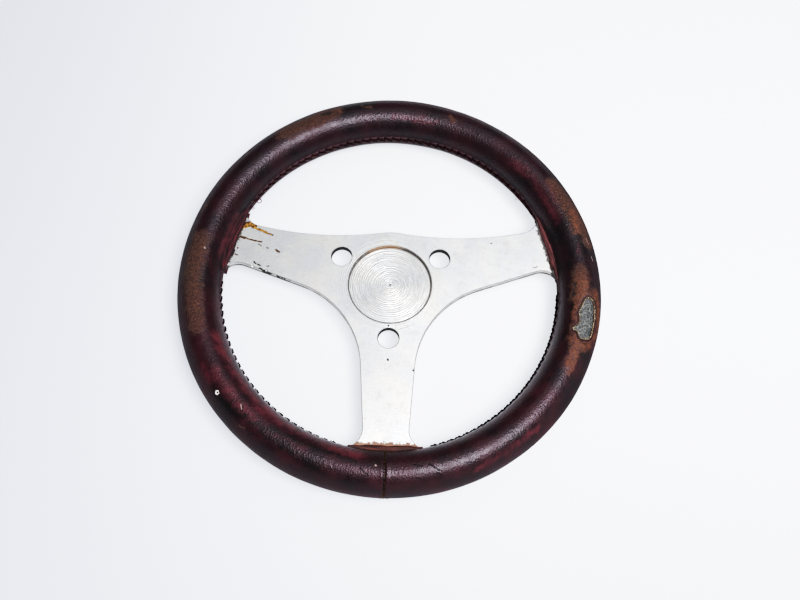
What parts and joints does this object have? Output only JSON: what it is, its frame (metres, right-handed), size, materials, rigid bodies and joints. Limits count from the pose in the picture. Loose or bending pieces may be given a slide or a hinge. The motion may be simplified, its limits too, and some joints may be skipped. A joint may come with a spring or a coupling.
{
  "type": "steering wheel",
  "caption": "Racing steering wheel with a flat aluminium spoke plate, hub holes and a round recess, and a sewn leather rim; bolts to a quick release hub.",
  "frame": {"origin": "centre of the wheel, at mid-thickness of the spoke plate and of the rim", "axes": "+Z along the wheel's axis, out of the face with the recess; -Y down the lower spoke; +X to the right"},
  "size_m": [0.258, 0.258, 0.032],
  "materials": {
    "plate": "dull brushed face with turned rings in the recess, fine scratches",
    "core": "matt moulded, speckled where it shows",
    "cover": "oxblood, polished dark by use, scuffed brown in places",
    "flap": "matt, less worn",
    "thread": "waxed thread",
    "end_thread": "worn thread"
  },
  "bodies": {
    "root": {"spoke_frame": "plate", "rim_core": "core", "leather_cover": "cover", "stitching_top": "thread", "stitching_left": "thread", "stitching_right": "thread", "end_seam_stitches": "end_thread", "left_flap_front": "flap", "left_flap_back": "flap", "right_flap_front": "flap", "right_flap_back": "flap", "lower_flap_front": "flap", "lower_flap_back": "flap"}
  },
  "joints": []
}
